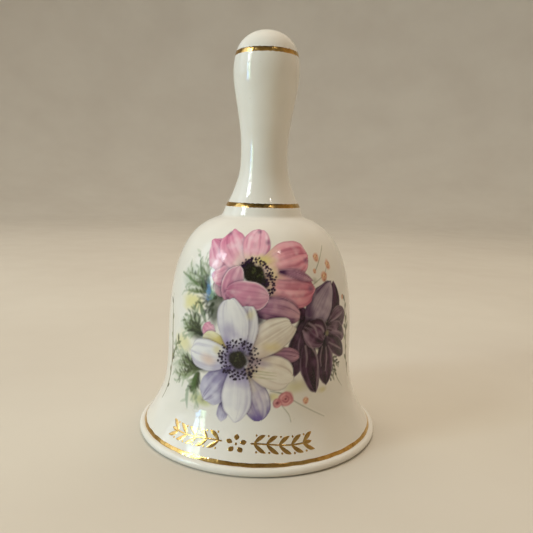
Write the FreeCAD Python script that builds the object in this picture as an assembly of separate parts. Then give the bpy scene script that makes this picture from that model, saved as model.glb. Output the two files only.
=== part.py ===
import FreeCAD, Part

import math
import os

from FreeCAD import Vector

# A porcelain hand bell, in millimetres. +Z is up, and the origin is on the bell's axis in the
# plane of its foot. The slip-cast bell and the hollow handle are two castings joined at the
# collar. A plug of cement in the collar's throat holds a brass staple, and a two-link chain
# hangs the clapper from it: a wire through a porcelain ball. Three bands are gilded.

# ---- Driving dimensions ---------------------------------------------------------------------
WALL = 2.2                      # thickness of both castings

# Foot: a rounded lip, ground flat where it stands
LIP_SECTION_RADIUS = 1.25
LIP_CENTRE_RADIUS = 38.8
LIP_CENTRE_HEIGHT = 1.15
LIP_INSIDE_BULGE = 0.3          # how far the lip's inside swells from a straight chamfer

# Bell, outside, from the lip up to the foot of the collar: (radius, height)
BELL_OUTLINE = [
    (38.5, 2.36), (36.5, 5.6), (34.4, 9.4), (32.5, 13.6), (31.2, 19.5), (30.65, 28.0),
    (30.3, 39.0), (29.3, 48.5), (27.5, 56.3), (24.6, 62.8), (21.3, 67.0), (17.6, 69.6),
    (15.4, 70.6), (14.1, 71.1), (13.35, 71.65), (13.0, 72.4),
]

# Collar, and the bevel where the handle stands on it
SHOULDER_TOP_HEIGHT = 71.3      # above this the wall thickens into the collar
COLLAR_TOP_RADIUS = 12.3
COLLAR_TOP_HEIGHT = 74.3
SEAM_HEIGHT = 75.0
HANDLE_FOOT_RADIUS = 11.5
HANDLE_FOOT_HEIGHT = 75.75
THROAT_RADIUS = 4.0

# Handle, outside, from its foot to its crown: (radius, height)
HANDLE_OUTLINE = [
    (HANDLE_FOOT_RADIUS, HANDLE_FOOT_HEIGHT), (9.6, 80.0), (8.1, 85.0), (7.6, 91.0),
    (7.95, 98.0), (8.9, 104.5), (9.95, 110.5), (10.6, 116.0), (10.3, 121.0), (9.5, 123.9),
    (8.0, 126.3), (5.75, 128.2), (3.05, 129.35), (0.0, 129.7),
]

# Gilding: fired gold, drawn thick enough to be a solid
GILT_PROUD = 0.05
GILT_INSET = 0.10
FOOT_BAND_WIDTH = 1.3
TOP_BAND_LOW = 121.35
TOP_BAND_HIGH = 122.9

# Cement plug: a flange under the throat, a button above it
FLANGE_RADIUS = 7.2
FLANGE_DROP = 1.9
BUTTON_RADIUS = 6.3
BUTTON_HEIGHT = 3.4

# Wire work
STAPLE_WIRE = 1.2
LINK_WIRE = 1.1
CLAPPER_WIRE = 1.2
BEND_RADIUS = 1.9               # wire centre line, in every eye and link
LINK_PLAY = 0.05                # between the wires of two linked pieces
STAPLE_PIVOT_HEIGHT = 63.0
LINK_PITCH = 8.0
STAPLE_TOE_RADIUS = 1.2
STAPLE_TOE_LENGTH = 1.4
EYE_REVERSE_BEND = 1.0
EYE_SWEEP = 305.0
CURL_RADIUS = 1.3
CURL_SWEEP = 250.0

# Clapper ball
BALL_RADIUS = 6.5
BALL_HEIGHT = 16.0
BORE_CLEARANCE = 0.05

# ---- Worked out from them -------------------------------------------------------------------
Y_AXIS = Vector(0, 1, 0)
Z_AXIS = Vector(0, 0, 1)
ORIGIN = Vector(0, 0, 0)
CEILING_HEIGHT = SEAM_HEIGHT - WALL
LINK_1_PIVOT_HEIGHT = STAPLE_PIVOT_HEIGHT - LINK_PITCH
LINK_2_PIVOT_HEIGHT = LINK_1_PIVOT_HEIGHT - LINK_PITCH


# ---- Drawing helpers ------------------------------------------------------------------------
def at(radius, height):
    """A point in the half plane that is turned round the axis."""
    return Vector(radius, 0, height)


def line(start, end):
    return Part.LineSegment(start, end).toShape()


def arc(start, middle, end):
    return Part.Arc(start, middle, end).toShape()


def spline(points, **tangents):
    curve = Part.BSplineCurve()
    curve.interpolate(points, **tangents)
    return curve


def turned(edges):
    """The solid swept by a closed outline of edges in the XZ plane, turned round Z."""
    return Part.Face(Part.Wire(edges)).revolve(ORIGIN, Z_AXIS, 360)


def polygon_turned(corners):
    """The solid of revolution with straight-sided section through (radius, height) corners."""
    points = [at(*corner) for corner in corners]
    return turned([line(a, b) for a, b in zip(points, points[1:] + points[:1])])


def inward(curve, points, thickness):
    """Each point of an outside curve, moved into the wall by the thickness along the normal.

    The curves run upwards, so the wall is on the left of the direction of travel.
    """
    moved = []
    for point in points:
        tangent = curve.tangent(curve.parameter(point))[0]
        moved.append(point + Vector(-tangent.z, 0, tangent.x) * thickness)
    return moved


def rod(path_edges, diameter):
    """A round wire bent along a smooth path."""
    path = Part.Wire(path_edges)
    first = path_edges[0]
    direction = first.tangentAt(first.FirstParameter)
    section = Part.Wire(Part.makeCircle(diameter / 2, first.valueAt(first.FirstParameter), direction))
    return Part.Solid(path.makePipeShell([section], True, False))


def on_circle(centre, radius, degrees):
    """A point on a circle in the XZ plane, counted from +X towards +Z."""
    angle = math.radians(degrees)
    return centre + Vector(radius * math.cos(angle), 0, radius * math.sin(angle))


def sweep(centre, radius, start, end):
    """The arc of a circle in the XZ plane between two angles in degrees."""
    return arc(*(on_circle(centre, radius, a) for a in (start, (start + end) / 2, end)))


def quarter_turn(shape):
    """Turn a shape drawn in the XZ plane into the YZ plane."""
    return shape.rotated(ORIGIN, Z_AXIS, 90)


# ---- The castings ---------------------------------------------------------------------------
def bell_curve():
    return spline([at(*point) for point in BELL_OUTLINE])


def lip_point(degrees):
    return on_circle(at(LIP_CENTRE_RADIUS, LIP_CENTRE_HEIGHT), LIP_SECTION_RADIUS, degrees)


def bevel_radius(height):
    """Radius of the straight bevel from the collar's top edge to the foot of the handle."""
    share = (height - COLLAR_TOP_HEIGHT) / (HANDLE_FOOT_HEIGHT - COLLAR_TOP_HEIGHT)
    return COLLAR_TOP_RADIUS + share * (HANDLE_FOOT_RADIUS - COLLAR_TOP_RADIUS)


def make_bell_body():
    """The flared bell with its lip, collar and pierced top."""
    outside = bell_curve()
    outline = [at(*point) for point in BELL_OUTLINE]
    thin_wall = [point for point in outline if point.z < SHOULDER_TOP_HEIGHT]
    inside_points = inward(outside, thin_wall, WALL)
    half_flat = math.sqrt(LIP_SECTION_RADIUS ** 2 - LIP_CENTRE_HEIGHT ** 2)
    flat_outer = at(LIP_CENTRE_RADIUS + half_flat, 0)
    flat_inner = at(LIP_CENTRE_RADIUS - half_flat, 0)
    cavity_corner = at(COLLAR_TOP_RADIUS - WALL, CEILING_HEIGHT)
    collar_edge = at(COLLAR_TOP_RADIUS, COLLAR_TOP_HEIGHT)
    seam_edge = at(bevel_radius(SEAM_HEIGHT), SEAM_HEIGHT)
    throat_top = at(THROAT_RADIUS, SEAM_HEIGHT)
    throat_bottom = at(THROAT_RADIUS, CEILING_HEIGHT)
    chamfer = flat_inner - inside_points[0]
    bulge = Vector(chamfer.z, 0, -chamfer.x).normalize() * LIP_INSIDE_BULGE
    lip_inside = (flat_inner + inside_points[0]) / 2 + bulge
    return turned([
        line(flat_inner, flat_outer),
        arc(flat_outer, lip_point(0), outline[0]),
        outside.toShape(),
        line(outline[-1], collar_edge),
        line(collar_edge, seam_edge),
        line(seam_edge, throat_top),
        line(throat_top, throat_bottom),
        line(throat_bottom, cavity_corner),
        line(cavity_corner, inside_points[-1]),
        spline(inside_points[::-1]).toShape(),
        arc(inside_points[0], lip_inside, flat_inner),
    ])


def handle_curve():
    points = [at(*point) for point in HANDLE_OUTLINE]
    rise = HANDLE_FOOT_HEIGHT - COLLAR_TOP_HEIGHT
    along_bevel = Vector(HANDLE_FOOT_RADIUS - COLLAR_TOP_RADIUS, 0, rise)
    return spline(points, InitialTangent=along_bevel, FinalTangent=Vector(-1, 0, 0))


def make_handle():
    """The hollow handle: waisted above its foot, swelling to a domed crown."""
    outside = handle_curve()
    outline = [at(*point) for point in HANDLE_OUTLINE]
    inside_foot = at(HANDLE_FOOT_RADIUS - WALL, SEAM_HEIGHT)
    inside_points = [inside_foot] + inward(outside, outline[1:], WALL)
    crown_inside = inside_points[-1]
    first_rise = inside_points[1] - inside_foot
    inside = spline(inside_points, InitialTangent=first_rise, FinalTangent=Vector(-1, 0, 0))
    seam_edge = at(bevel_radius(SEAM_HEIGHT), SEAM_HEIGHT)
    return turned([
        line(inside_foot, seam_edge),
        line(seam_edge, outline[0]),
        outside.toShape(),
        line(outline[-1], crown_inside),
        inside.toShape(),
    ])


# ---- Gilding --------------------------------------------------------------------------------
def point_at_height(curve, height):
    level = line(at(0, height), at(2 * LIP_CENTRE_RADIUS, height))
    return curve.toShape().distToShape(level)[1][0][0]


def gilt_band(curve, low, high):
    """A thin ring of gold that follows an outside curve between two heights."""
    points = [point_at_height(curve, height) for height in (low, (low + high) / 2, high)]
    proud = inward(curve, points, -GILT_PROUD)
    inset = inward(curve, points, GILT_INSET)
    return turned([
        spline(proud).toShape(),
        line(proud[-1], inset[-1]),
        spline(inset[::-1]).toShape(),
        line(inset[0], proud[0]),
    ])


def make_foot_band():
    """The band in the angle between the flare and the lip, measured up the slope of the flare."""
    curve = bell_curve()
    slope = curve.tangent(curve.FirstParameter)[0]
    low = BELL_OUTLINE[0][1]
    return gilt_band(curve, low, low + FOOT_BAND_WIDTH * slope.z)


def make_collar_band():
    """The band on the bevel, over the seam between handle and bell."""
    bevel = Part.LineSegment(at(COLLAR_TOP_RADIUS, COLLAR_TOP_HEIGHT),
                             at(HANDLE_FOOT_RADIUS, HANDLE_FOOT_HEIGHT))
    direction = bevel.tangent(0)[0]
    outward = Vector(direction.z, 0, -direction.x)
    ends = [bevel.StartPoint, bevel.EndPoint]
    proud = [end + outward * GILT_PROUD for end in ends]
    inset = [end - outward * GILT_INSET for end in ends]
    corners = proud + inset[::-1]
    return polygon_turned([(corner.x, corner.z) for corner in corners])


def make_top_band():
    """The band under the domed crown of the handle."""
    return gilt_band(handle_curve(), TOP_BAND_LOW, TOP_BAND_HIGH)


# ---- Clapper suspension ---------------------------------------------------------------------
def dome(pole, rim):
    """A shallow dome from its pole on the axis round to its rim, where it stands upright."""
    share = math.sqrt(0.5)
    middle = at(rim.x * share, rim.z + (pole.z - rim.z) * share)
    upright = rim - at(rim.x, pole.z)
    return spline([pole, middle, rim], InitialTangent=Vector(1, 0, 0), FinalTangent=upright)


def make_throat_plug():
    """Cement pressed through the throat, spread above and below it."""
    flange_pole = at(0, CEILING_HEIGHT - FLANGE_DROP)
    flange_rim = at(FLANGE_RADIUS, CEILING_HEIGHT)
    throat_bottom = at(THROAT_RADIUS, CEILING_HEIGHT)
    throat_top = at(THROAT_RADIUS, SEAM_HEIGHT)
    button_rim = at(BUTTON_RADIUS, SEAM_HEIGHT)
    button_pole = at(0, SEAM_HEIGHT + BUTTON_HEIGHT)
    return turned([
        dome(flange_pole, flange_rim).toShape(),
        line(flange_rim, throat_bottom),
        line(throat_bottom, throat_top),
        line(throat_top, button_rim),
        dome(button_pole, button_rim).toShape(),
        line(button_pole, flange_pole),
    ])


def make_staple():
    """A brass wire bent into a U, its toes turned out inside the cement."""
    bend_height = STAPLE_PIVOT_HEIGHT + BEND_RADIUS
    toe_height = SEAM_HEIGHT + BUTTON_HEIGHT / 2
    toe_centre = at(BEND_RADIUS + STAPLE_TOE_RADIUS, toe_height - STAPLE_TOE_RADIUS)
    toe_start = on_circle(toe_centre, STAPLE_TOE_RADIUS, 90)
    leg_top = on_circle(toe_centre, STAPLE_TOE_RADIUS, 180)
    leg_bottom = at(BEND_RADIUS, bend_height)
    right_half = [
        line(toe_start + Vector(STAPLE_TOE_LENGTH, 0, 0), toe_start),
        sweep(toe_centre, STAPLE_TOE_RADIUS, 90, 180),
        line(leg_top, leg_bottom),
    ]
    left_half = [edge.mirror(ORIGIN, Vector(1, 0, 0)) for edge in right_half]
    bend = sweep(at(0, bend_height), BEND_RADIUS, 0, -180)
    return rod(right_half + [bend] + left_half[::-1], STAPLE_WIRE)


def link_section(centre):
    """The round section of a link's wire, lying level."""
    return Part.Face(Part.Wire(Part.makeCircle(LINK_WIRE / 2, centre, Z_AXIS)))


def make_link(bottom, top):
    """A closed chain link; bottom and top are the heights of its wire's centre line."""
    low_centre = at(0, bottom + BEND_RADIUS)
    high_centre = at(0, top - BEND_RADIUS)
    side = Vector(BEND_RADIUS, 0, 0)
    low_bend = link_section(low_centre + side).revolve(low_centre, Y_AXIS, 180)
    high_bend = link_section(high_centre - side).revolve(high_centre, Y_AXIS, 180)
    straight = high_centre - low_centre
    right_side = link_section(low_centre + side).extrude(straight)
    left_side = link_section(low_centre - side).extrude(straight)
    return low_bend.multiFuse([high_bend, right_side, left_side]).removeSplitter()


def hanging_top(pivot_height, carrying_wire, hanging_wire):
    """Height of the wire centre line where one bend hangs over another's wire."""
    return pivot_height + carrying_wire / 2 + LINK_PLAY + hanging_wire / 2


def make_clapper_wire():
    """A wire with a formed eye at its top, a straight shank and a curl that keeps the ball on."""
    eye_top = hanging_top(LINK_2_PIVOT_HEIGHT, LINK_WIRE, CLAPPER_WIRE)
    eye_centre = at(0, eye_top - BEND_RADIUS)
    reach = BEND_RADIUS + EYE_REVERSE_BEND
    joint_angle = math.degrees(math.acos(EYE_REVERSE_BEND / reach))
    drop = math.sqrt(reach ** 2 - EYE_REVERSE_BEND ** 2)
    reverse_centre = eye_centre + Vector(EYE_REVERSE_BEND, 0, -drop)
    shank_top = at(0, reverse_centre.z)
    ball_bottom = BALL_HEIGHT - BALL_RADIUS
    shank_bottom = at(0, ball_bottom - CURL_RADIUS - CLAPPER_WIRE / 2 - LINK_PLAY)
    curl_centre = shank_bottom - Vector(CURL_RADIUS, 0, 0)
    return rod([
        sweep(eye_centre, BEND_RADIUS, EYE_SWEEP - joint_angle, -joint_angle),
        sweep(reverse_centre, EYE_REVERSE_BEND, 180 - joint_angle, 180),
        line(shank_top, shank_bottom),
        sweep(curl_centre, CURL_RADIUS, 0, -CURL_SWEEP),
    ], CLAPPER_WIRE)


def make_clapper_ball():
    """A porcelain bead bored for the wire."""
    centre = at(0, BALL_HEIGHT)
    bore_start = at(0, BALL_HEIGHT - 2 * BALL_RADIUS)
    bore = Part.makeCylinder(CLAPPER_WIRE / 2 + BORE_CLEARANCE, 4 * BALL_RADIUS, bore_start)
    return Part.makeSphere(BALL_RADIUS, centre).cut(bore)


# ---- The assembly ---------------------------------------------------------------------------
def make_parts():
    """Every piece by name. Mating pieces are cut by what sits in them, so their faces meet."""
    link_1_top = hanging_top(STAPLE_PIVOT_HEIGHT, STAPLE_WIRE, LINK_WIRE)
    link_2_top = hanging_top(LINK_1_PIVOT_HEIGHT, LINK_WIRE, LINK_WIRE)
    foot_band = make_foot_band()
    collar_band = make_collar_band()
    top_band = make_top_band()
    staple = make_staple()
    return {
        "bell_body": make_bell_body().cut(foot_band).cut(collar_band),
        "handle": make_handle().cut(collar_band).cut(top_band),
        "gilt_band_foot": foot_band,
        "gilt_band_collar": collar_band,
        "gilt_band_top": top_band,
        "throat_plug": make_throat_plug().cut(staple),
        "clapper_staple": staple,
        "chain_link_1": quarter_turn(make_link(LINK_1_PIVOT_HEIGHT, link_1_top)),
        "chain_link_2": make_link(LINK_2_PIVOT_HEIGHT, link_2_top),
        "clapper_wire": quarter_turn(make_clapper_wire()),
        "clapper_ball": make_clapper_ball(),
    }


def main():
    os.makedirs("parts", exist_ok=True)
    for name, shape in make_parts().items():
        shape.exportStep(os.path.join("parts", name + ".step"))
        box = shape.optimalBoundingBox()
        print(f"{name}: {len(shape.Solids)} solid, valid {shape.isValid()}, {shape.Volume:.1f} mm3,"
              f" z {box.ZMin:.2f} to {box.ZMax:.2f}, x {box.XMin:.2f} to {box.XMax:.2f}")


main()
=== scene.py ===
import math

import bpy
import numpy as np

from mathutils import Matrix, Vector


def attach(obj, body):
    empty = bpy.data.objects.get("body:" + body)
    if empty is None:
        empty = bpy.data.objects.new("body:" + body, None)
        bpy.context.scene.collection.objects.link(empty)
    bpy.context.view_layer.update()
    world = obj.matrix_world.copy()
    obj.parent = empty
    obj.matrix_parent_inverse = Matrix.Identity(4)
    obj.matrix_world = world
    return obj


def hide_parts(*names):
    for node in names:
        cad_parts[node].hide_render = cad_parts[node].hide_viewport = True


# A porcelain hand bell with gilt bands, a flower transfer and a gilt garland. The castings, bands
# and painted films are made here; the clapper, chain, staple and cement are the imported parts
# with richer materials. The profiles repeat the part's driving dimensions.

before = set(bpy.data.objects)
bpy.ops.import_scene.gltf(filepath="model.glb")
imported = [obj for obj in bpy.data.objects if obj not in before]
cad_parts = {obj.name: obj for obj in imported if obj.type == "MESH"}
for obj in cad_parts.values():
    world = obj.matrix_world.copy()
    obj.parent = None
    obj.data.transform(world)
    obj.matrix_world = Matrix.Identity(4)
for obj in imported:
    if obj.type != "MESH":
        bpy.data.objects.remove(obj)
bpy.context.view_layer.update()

MM = 0.001

# ---- Driving dimensions, in millimetres ----
WALL = 2.2
LIP_SECTION_RADIUS = 1.25
LIP_CENTRE = (38.8, 1.15)
BELL_OUTLINE = [
    (38.5, 2.36), (36.5, 5.6), (34.4, 9.4), (32.5, 13.6), (31.2, 19.5), (30.65, 28.0),
    (30.3, 39.0), (29.3, 48.5), (27.5, 56.3), (24.6, 62.8), (21.3, 67.0), (17.6, 69.6),
    (15.4, 70.6), (14.1, 71.1), (13.35, 71.65), (13.0, 72.4),
]
CAVITY_SHOULDER_HEIGHT = 71.1   # the inside follows the outside up to here
COLLAR_TOP = (12.3, 74.3)
SEAM_HEIGHT = 75.0
HANDLE_FOOT = (11.5, 75.75)
THROAT_RADIUS = 4.0
HANDLE_OUTLINE = [
    HANDLE_FOOT, (9.6, 80.0), (8.1, 85.0), (7.6, 91.0), (7.95, 98.0), (8.9, 104.5),
    (9.95, 110.5), (10.6, 116.0), (10.3, 121.0), (9.5, 123.9), (8.0, 126.3), (5.75, 128.2),
    (3.05, 129.35), (0.0, 129.7),
]

LIP_INSIDE_BULGE = (0.17, 0.24)  # rounds the inside of the lip, towards the axis and down
HANDLE_CAVITY_FOOT = 3.0        # the hollow follows the handle's outline down to this length

FOOT_BAND = (0.02, 1.3)         # from where to where along the bell's outline
COLLAR_BAND_INSET = 0.03        # from both edges of the handle's bevel
TOP_BAND_HEIGHTS = (121.35, 122.9)
GILT_PROUD = 0.05               # fired gold, drawn thick enough to be seen as a solid
GILT_BEDDED = 0.10
BAND_EDGE_DIP = 0.01            # how far the gold's edges dip below the glaze
MARK_EDGE_DIP = 0.012
GARLAND_CENTRE = (-5.0, 6.2)    # across and up the bell's flare
GARLAND_REACH = 19.3
LEAF_PITCH = 3.1

FILM_PROUD = 0.035              # the flower transfer under its glaze
FILM_BEDDED = 0.03
FILM_EDGE_DIP = 0.01            # its rim dips just below the glaze
SHEET_RADIUS = 30.0             # paint is laid out flat as if round a cylinder of this radius
FRONT_SHEET = (-42, 42, 8, 74)  # left, right, bottom and top
BACK_SHEET = (-26, 26, 22, 62)
PINK_PLACE = (-1.0, 55.6)       # the three flowers' middles on the front sheet
WHITE_PLACE = (-5.8, 30.6)
NIGHT_PLACE = (21.5, 38.0)
BACK_PLACE = (0, 42)

TURNS = 288                     # facets round a casting
OUTSIDE_STEP = 0.4              # length of a facet along the outside
BELL_INSIDE_STEP = 0.9
HANDLE_INSIDE_STEP = 1.2
PAINT_CELL = 0.26               # the transfer's smallest dot
BARE = 0.004                    # less paint than this doesn't count
GOLDEN = 0.618034               # steps of this share of a turn strew dots evenly

FLOOR_FLAT = (200.0, 500.0, 900.0)  # radii of the floor's flat rings
FLOOR_SWEEP = 700.0             # radius of the curve up to the wall
FLOOR_TOP = 2200.0

# ---- Lamps and camera, in metres, watts and degrees ----
MIDDLE = (0, 0, 0.065)
WINDOW_PLACE = (-0.70, -0.34, 0.42)
PANE = (0.085, 0.135)
PANE_GAP = 0.018
PANE_ROWS = (                   # watts and tint of the left and right pane, from the sill up
    ((0.44, (0.25, 0.55, 1.0)), (0.34, (0.60, 1.0, 0.70))),
    ((0.44, (0.50, 0.78, 1.0)), (0.34, (0.75, 1.0, 0.82))),
    ((0.42, (0.72, 0.90, 1.0)), (0.28, (0.88, 1.0, 0.88))),
    ((0.50, (0.90, 0.96, 1.0)), (0.60, (0.90, 0.96, 1.0))),
)
LAMPS = (                       # name, place, target, size, watts, colour, seen in reflections
    ("side", (-1.25, -0.08, 0.62), MIDDLE, (0.78, 0.94), 3.2, (0.78, 0.88, 1.0), True),
    ("overhead", (0.0, 0.14, 1.10), MIDDLE, (1.0, 0.9), 9.8, (1.0, 0.87, 0.70), False),
    ("warm_fill", (1.25, 0.0, 0.55), MIDDLE, (1.4, 1.4), 0.8, (1.0, 0.50, 0.10), True),
    ("catch", (0.26, -0.42, 0.62), MIDDLE, (0.04, 0.04), 0.12, (1.0, 0.92, 0.80), True),
    ("backdrop_wash", (0, 0.9, 1.5), (0, 1.7, 0.2), (1.8, 0.4), 4.0, (1.0, 0.98, 0.95), False),
)
WORLD_COLOUR = (1.0, 0.98, 0.95, 1)
WORLD_STRENGTH = 0.06
CAMERA_PLACE = (0, -0.1879, 0.08256)
CAMERA_LENS = 38.16             # millimetres, on a 36 mm sensor
PITCH, YAW, ROLL = -8.57, 0.54, 1.68

# ---- Colours, as seen on a screen ----
PORCELAIN = "F0EDE6"
PORCELAIN_SHADE = "EAE6DC"


def linear(code):
    """A hex screen colour as linear red, green and blue."""
    values = [int(code[i:i + 2], 16) / 255 for i in (0, 2, 4)]
    return np.array([v / 12.92 if v <= 0.04045 else ((v + 0.055) / 1.055) ** 2.4 for v in values])


def rgba(code):
    """A hex screen colour as a node's colour value."""
    return (*linear(code), 1.0)


# ---- Curves ----
class Curve:
    """A smooth curve through (radius, height) points, read by its length from the start."""

    def __init__(self, points, start_slope=None, end_slope=None, step=0.25):
        points = np.array(points, float)
        knots = np.r_[0, np.cumsum(np.hypot(*np.diff(points, axis=0).T))]
        slopes = self.slopes(knots, points, start_slope, end_slope)
        t = np.linspace(0, knots[-1], int(knots[-1] / step) + 2)
        i = np.clip(np.searchsorted(knots, t, side="right") - 1, 0, len(knots) - 2)
        h = (knots[i + 1] - knots[i])[:, None]
        u = ((t - knots[i]) / h[:, 0])[:, None]
        self.points = (
            points[i] * (2 * u**3 - 3 * u**2 + 1) + points[i + 1] * (3 * u**2 - 2 * u**3)
            + slopes[i] * h * (u**3 - 2 * u**2 + u) + slopes[i + 1] * h * (u**3 - u**2)
        )
        self.lengths = np.r_[0, np.cumsum(np.hypot(*np.diff(self.points, axis=0).T))]
        tangents = np.gradient(self.points, self.lengths, axis=0)
        tangents /= np.hypot(*tangents.T)[:, None]
        self.normals = np.c_[tangents[:, 1], -tangents[:, 0]]

    @staticmethod
    def slopes(knots, points, start_slope, end_slope):
        """Slopes at the knots for a curve whose bending has no jumps (a cubic spline)."""
        n = len(knots)
        h = np.diff(knots)
        matrix = np.zeros((n, n))
        right = np.zeros((n, 2))
        chords = np.diff(points, axis=0) / h[:, None]
        for i in range(1, n - 1):
            matrix[i, i - 1:i + 2] = h[i], 2 * (h[i - 1] + h[i]), h[i - 1]
            right[i] = 3 * (h[i] * chords[i - 1] + h[i - 1] * chords[i])
        for row, slope, near, chord in ((0, start_slope, 1, 0), (n - 1, end_slope, n - 2, n - 2)):
            if slope is None:
                matrix[row, row], matrix[row, near], right[row] = 2, 1, 3 * chords[chord]
            else:
                matrix[row, row] = 1
                right[row] = np.array(slope, float) / np.hypot(*slope)
        return np.linalg.solve(matrix, right)

    @property
    def length(self):
        return self.lengths[-1]

    def at(self, s, proud=0.0):
        """Radius and height at a length along the curve, moved outwards by proud."""
        radius = np.interp(s, self.lengths, self.points[:, 0])
        height = np.interp(s, self.lengths, self.points[:, 1])
        across = np.interp(s, self.lengths, self.normals[:, 0])
        along = np.interp(s, self.lengths, self.normals[:, 1])
        return radius + across * proud, height + along * proud

    def at_height(self, height):
        """Length along the curve at which it reaches a height."""
        return float(np.interp(height, self.points[:, 1], self.lengths))


bevel_rise = (HANDLE_FOOT[0] - COLLAR_TOP[0], HANDLE_FOOT[1] - COLLAR_TOP[1])
bell_curve = Curve(BELL_OUTLINE)
handle_curve = Curve(HANDLE_OUTLINE, start_slope=bevel_rise, end_slope=(-1, 0))
bevel_curve = Curve([COLLAR_TOP, HANDLE_FOOT], step=0.1)


def evenly(curve, start, end, step, proud=0.0):
    """(radius, height) points along a curve, about a step apart."""
    s = np.linspace(start, end, max(2, int(round(abs(end - start) / step)) + 1))
    return list(zip(*curve.at(s, proud)))


def around(centre, reaches, angle):
    """The point of an ellipse at an angle."""
    return centre[0] + reaches[0] * math.cos(angle), centre[1] + reaches[1] * math.sin(angle)


def arc_points(centre, radius, start, end, count):
    """Points along an arc between two angles in degrees."""
    angles = np.radians(np.linspace(start, end, count))
    return [around(centre, (radius, radius), a) for a in angles]


def straight(start, end, step=0.6):
    """Points from start up to but not including end, about a step apart."""
    count = max(1, int(round(math.dist(start, end) / step)))
    share = np.arange(count) / count
    return [tuple(np.array(start) + (np.array(end) - np.array(start)) * t) for t in share]


# ---- Noise ----
def noise(x, y, seed):
    """Smooth random values between -1 and 1, with features one unit across."""
    table = np.random.RandomState(seed).uniform(-1, 1, (64, 64))
    x, y = np.broadcast_arrays(np.asarray(x, float), np.asarray(y, float))
    i, j = np.floor(x).astype(int), np.floor(y).astype(int)
    u, v = x - i, y - j
    u, v = u * u * (3 - 2 * u), v * v * (3 - 2 * v)
    near = table[i % 64, j % 64] * (1 - u) + table[(i + 1) % 64, j % 64] * u
    far = table[i % 64, (j + 1) % 64] * (1 - u) + table[(i + 1) % 64, (j + 1) % 64] * u
    return near * (1 - v) + far * v


def ring_noise(angle, seed, waves=60):
    """Random wobble that meets itself after a full turn, about -1 to 1."""
    random = np.random.RandomState(seed)
    total = sum(
        random.uniform(0.3, 1) * np.sin(k * angle + random.uniform(0, 2 * math.pi))
        for k in range(2, waves, 5)
    )
    return total / 2.4


def ease(low, high, value):
    """0 below low, 1 above high, smooth between. Low may be the larger."""
    t = np.clip((value - low) / (high - low), 0, 1)
    return t * t * (3 - 2 * t)


# ---- Mesh making ----
def new_piece(name, vertices, faces, sharp_degrees=40):
    """A smooth-shaded mesh object from millimetre vertices."""
    mesh = bpy.data.meshes.new(name)
    mesh.from_pydata([tuple(v) for v in np.asarray(vertices) * MM], [], faces)
    mesh.validate()
    mesh.shade_smooth()
    mesh.set_sharp_from_angle(angle=math.radians(sharp_degrees))
    piece = bpy.data.objects.new(name, mesh)
    bpy.context.collection.objects.link(piece)
    return piece


def turned(name, profile, closed, turns=TURNS):
    """A profile of (radius, height) points turned round Z, its surface on the profile's right.

    A closed profile is a ring that stays off the axis; an open one may start or end on it.
    """
    angles = np.arange(turns) * 2 * math.pi / turns
    vertices, rows = [], []
    for radius, height in profile:
        if radius < 1e-6:
            rows.append([len(vertices)] * turns)
            vertices.append((0, 0, height))
            continue
        rows.append(list(range(len(vertices), len(vertices) + turns)))
        vertices += [(radius * math.sin(a), -radius * math.cos(a), height) for a in angles]
    faces = []
    for low, high in zip(rows, rows[1:] + (rows[:1] if closed else [])):
        for k in range(turns):
            m = (k + 1) % turns
            corners = [low[k], low[m], high[m], high[k]]
            faces.append(tuple(dict.fromkeys(corners)))
    return new_piece(name, vertices, faces)


def on_bell(across, up, proud):
    """Points on the bell's outside from flat sheet coordinates."""
    radius, height = bell_curve.at(up, proud)
    angle = np.asarray(across) / SHEET_RADIUS
    return np.stack([radius * np.sin(angle), -radius * np.cos(angle), height], -1)


# ---- Castings ----
def seam_edge():
    """Where the seam between bell and handle comes out on the bevel."""
    share = (SEAM_HEIGHT - COLLAR_TOP[1]) / bevel_rise[1]
    return COLLAR_TOP[0] + bevel_rise[0] * share, SEAM_HEIGHT


def bell_profile():
    """The bell's section, anticlockwise: lip, outside, collar, throat, ceiling, inside."""
    half_flat = math.sqrt(LIP_SECTION_RADIUS**2 - LIP_CENTRE[1] ** 2)
    flat_outer = (LIP_CENTRE[0] + half_flat, 0.0)
    flat_inner = (LIP_CENTRE[0] - half_flat, 0.0)
    start = math.degrees(math.atan2(-LIP_CENTRE[1], half_flat))
    top = BELL_OUTLINE[0]
    end = math.degrees(math.atan2(top[1] - LIP_CENTRE[1], top[0] - LIP_CENTRE[0]))
    ceiling = SEAM_HEIGHT - WALL
    inside_top = bell_curve.at_height(CAVITY_SHOULDER_HEIGHT)
    inside = evenly(bell_curve, inside_top, 0, BELL_INSIDE_STEP, -WALL)
    lip_inside = (np.array(inside[-1]) + np.array(flat_inner)) / 2 - LIP_INSIDE_BULGE
    return (
        straight(flat_inner, flat_outer, 0.3)
        + arc_points(LIP_CENTRE, LIP_SECTION_RADIUS, start, end, 16)[:-1]
        + evenly(bell_curve, 0, bell_curve.length, OUTSIDE_STEP)[:-1]
        + straight(BELL_OUTLINE[-1], COLLAR_TOP)
        + straight(COLLAR_TOP, seam_edge())
        + straight(seam_edge(), (THROAT_RADIUS, SEAM_HEIGHT), 2)
        + straight((THROAT_RADIUS, SEAM_HEIGHT), (THROAT_RADIUS, ceiling))
        + straight((THROAT_RADIUS, ceiling), (COLLAR_TOP[0] - WALL, ceiling), 1.5)
        + straight((COLLAR_TOP[0] - WALL, ceiling), inside[0])
        + inside
        + [tuple(lip_inside)]
    )


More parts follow.
